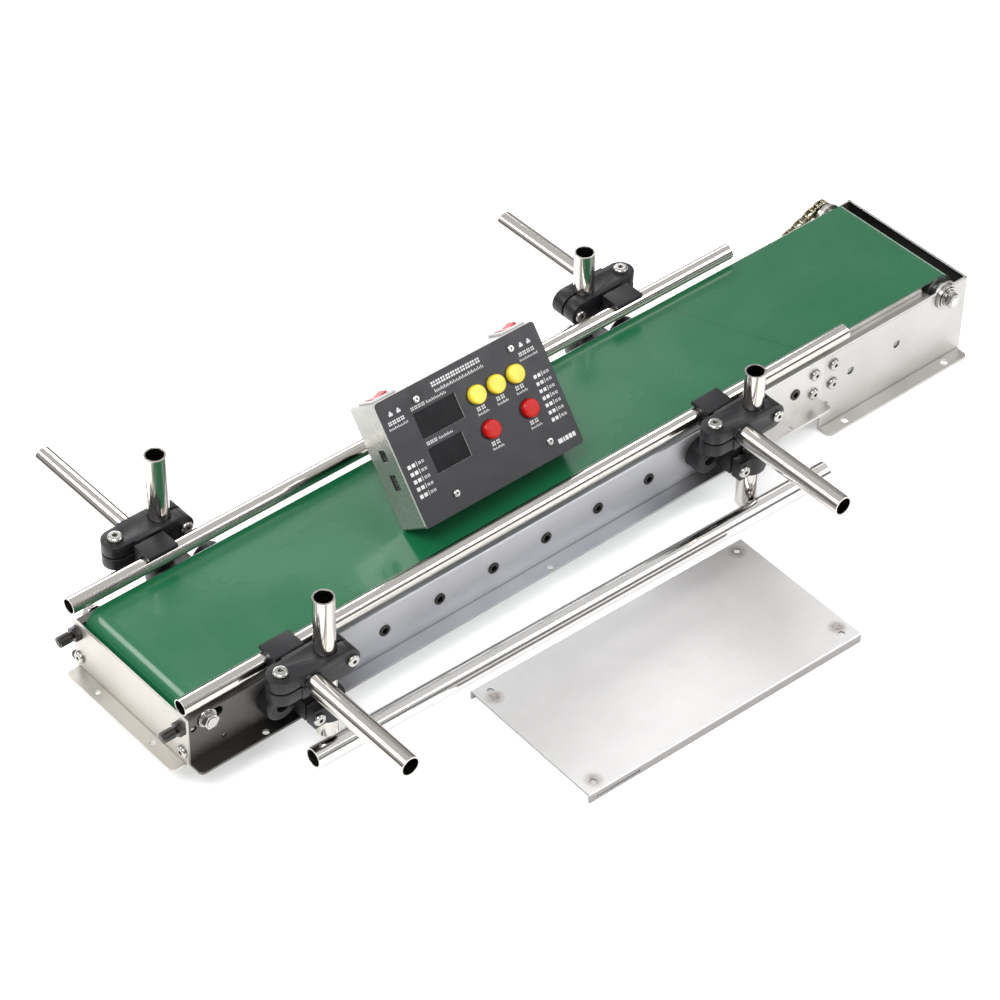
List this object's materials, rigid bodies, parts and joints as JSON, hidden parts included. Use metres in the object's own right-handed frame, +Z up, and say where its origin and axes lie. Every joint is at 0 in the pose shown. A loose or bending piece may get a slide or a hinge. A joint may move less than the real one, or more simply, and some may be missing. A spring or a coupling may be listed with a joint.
{
  "type": "belt conveyor section",
  "caption": "Short stainless belt conveyor with a chain-driven end roller, adjustable guide rails on clamped posts, a tilted control box, and a loose cover and spare tube beside it.",
  "frame": {"origin": "centre of the drive unit's base bolt pattern, on the floor", "axes": "+X along the conveyor from the tail to the drive end, +Y across it away from the loose cover, +Z up"},
  "size_m": [0.7768, 0.4562, 0.1762],
  "materials": {
    "stainless": "2B mill finish",
    "tube": "polished",
    "belt": "smooth glossy PVC cover",
    "black": "moulded nylon",
    "screw": "zinc bright",
    "dark_face": "satin printed panel",
    "yellow": "gloss",
    "red": "gloss",
    "display": "smoked window",
    "board": "solder mask",
    "aluminium": "turned",
    "dark_metal": "satin enamel",
    "grey_plastic": "moulded",
    "pads": "mill finish"
  },
  "bodies": {
    "frame": {"side_panel_near": "stainless", "side_panel_far": "stainless", "drive_panel_near": "stainless", "drive_panel_far": "stainless", "splice_plates": "stainless", "tail_plate": "stainless", "drive_end_plate": "stainless", "slider_bed": "stainless", "motor_bracket": "stainless", "cross_members": "stainless", "tail_foot": "pads", "frame_screws": "screw", "rivet_nuts": "screw", "tail_axle": "screw", "axle_nuts": "screw", "tension_bolts": "screw", "bracket_bolts": "screw", "gearbox": "aluminium", "drive_bearings": "aluminium", "motor": "dark_metal", "drive_chain": "dark_metal", "belt": "belt", "posts": "tube", "base_brackets_near": "black", "base_brackets_far": "black"},
    "drive_roller": {"drive_roller": "aluminium", "drive_sprocket": "dark_metal", "shaft_nut": "screw"},
    "tail_roller": {"tail_roller": "aluminium", "tail_bearings": "dark_metal"},
    "motor_sprocket": {"motor_sprocket": "dark_metal"},
    "clamps_near": {"cross_clamps_near": "black", "clamp_screws_near": "screw"},
    "clamps_far": {"cross_clamps_far": "black", "clamp_screws_far": "screw"},
    "rail_near": {"guide_rail_near": "tube", "cross_rods_near": "tube", "rail_clips_near": "black"},
    "rail_far": {"guide_rail_far": "tube", "cross_rods_far": "tube", "rail_clips_far": "black"},
    "cover": {"cover_plate": "stainless"},
    "spare_tube": {"spare_tube": "tube"},
    "controller": {"controller_box": "stainless", "face_plate": "dark_face", "face_screws": "screw", "display_windows": "display", "circuit_board": "board", "rocker_housings": "grey_plastic", "side_connectors": "grey_plastic", "controller_stand": "stainless"},
    "yellow_button_1": {"yellow_button_1": "yellow"},
    "yellow_button_2": {"yellow_button_2": "yellow"},
    "yellow_button_3": {"yellow_button_3": "yellow"},
    "red_button_1": {"red_button_1": "red"},
    "red_button_2": {"red_button_2": "red"},
    "rocker_left": {"rocker_left": "red"},
    "rocker_right": {"rocker_right": "red"}
  },
  "joints": [
    {"name": "drive_roller_spin", "type": "hinge", "parent": "frame", "child": "drive_roller", "pos_m": [0.0535, 0, 0.0655], "axis": [0, 1, 0], "continuous": true, "deforming": ["drive_chain"]},
    {"name": "tail_roller_spin", "type": "hinge", "parent": "frame", "child": "tail_roller", "pos_m": [-0.662, 0, 0.0655], "axis": [0, 1, 0], "continuous": true},
    {"name": "motor_sprocket_spin", "type": "hinge", "parent": "frame", "child": "motor_sprocket", "pos_m": [-0.03989, 0, 0.0255], "axis": [0, 1, 0], "continuous": true},
    {"name": "clamps_near_height", "type": "slide", "parent": "frame", "child": "clamps_near", "axis": [0, 0, 1], "range_m": [0, 0.028]},
    {"name": "clamps_far_height", "type": "slide", "parent": "frame", "child": "clamps_far", "axis": [0, 0, 1], "range_m": [0, 0.028]},
    {"name": "rail_near_reach", "type": "slide", "parent": "clamps_near", "child": "rail_near", "axis": [0, 1, 0], "range_m": [0, 0.015]},
    {"name": "rail_far_reach", "type": "slide", "parent": "clamps_far", "child": "rail_far", "axis": [0, -1, 0], "range_m": [0, 0.015]},
    {"name": "controller_lift", "type": "slide", "parent": "frame", "child": "controller", "axis": [0, 0, 1], "range_m": [0, 0.1]},
    {"name": "cover_lift", "type": "slide", "parent": "frame", "child": "cover", "axis": [0, 0, 1], "range_m": [0, 0.15]},
    {"name": "spare_tube_pull", "type": "slide", "parent": "frame", "child": "spare_tube", "axis": [-0.9997, 0.0248, 0], "range_m": [0, 0.5]},
    {"name": "yellow_button_1_press", "type": "slide", "parent": "controller", "child": "yellow_button_1", "axis": [0, 0.788, -0.6157], "range_m": [0, 0.0025], "stiffness_N_per_m": 300, "springref_m": -0.0005},
    {"name": "yellow_button_2_press", "type": "slide", "parent": "controller", "child": "yellow_button_2", "axis": [0, 0.788, -0.6157], "range_m": [0, 0.0025], "stiffness_N_per_m": 300, "springref_m": -0.0005},
    {"name": "yellow_button_3_press", "type": "slide", "parent": "controller", "child": "yellow_button_3", "axis": [0, 0.788, -0.6157], "range_m": [0, 0.0025], "stiffness_N_per_m": 300, "springref_m": -0.0005},
    {"name": "red_button_1_press", "type": "slide", "parent": "controller", "child": "red_button_1", "axis": [0, 0.788, -0.6157], "range_m": [0, 0.0025], "stiffness_N_per_m": 300, "springref_m": -0.0005},
    {"name": "red_button_2_press", "type": "slide", "parent": "controller", "child": "red_button_2", "axis": [0, 0.788, -0.6157], "range_m": [0, 0.0025], "stiffness_N_per_m": 300, "springref_m": -0.0005},
    {"name": "rocker_left_tip", "type": "hinge", "parent": "controller", "child": "rocker_left", "pos_m": [-0.4375, 0.02618, 0.16414], "axis": [0, -0.788, 0.6157], "range_deg": [-12, 0]},
    {"name": "rocker_right_tip", "type": "hinge", "parent": "controller", "child": "rocker_right", "pos_m": [-0.318, 0.02618, 0.16414], "axis": [0, -0.788, 0.6157], "range_deg": [-12, 0]}
  ],
  "couplings": [
    {"joint": "tail_roller_spin", "follows": "drive_roller_spin", "ratio": 1},
    {"joint": "motor_sprocket_spin", "follows": "drive_roller_spin", "ratio": 1}
  ]
}
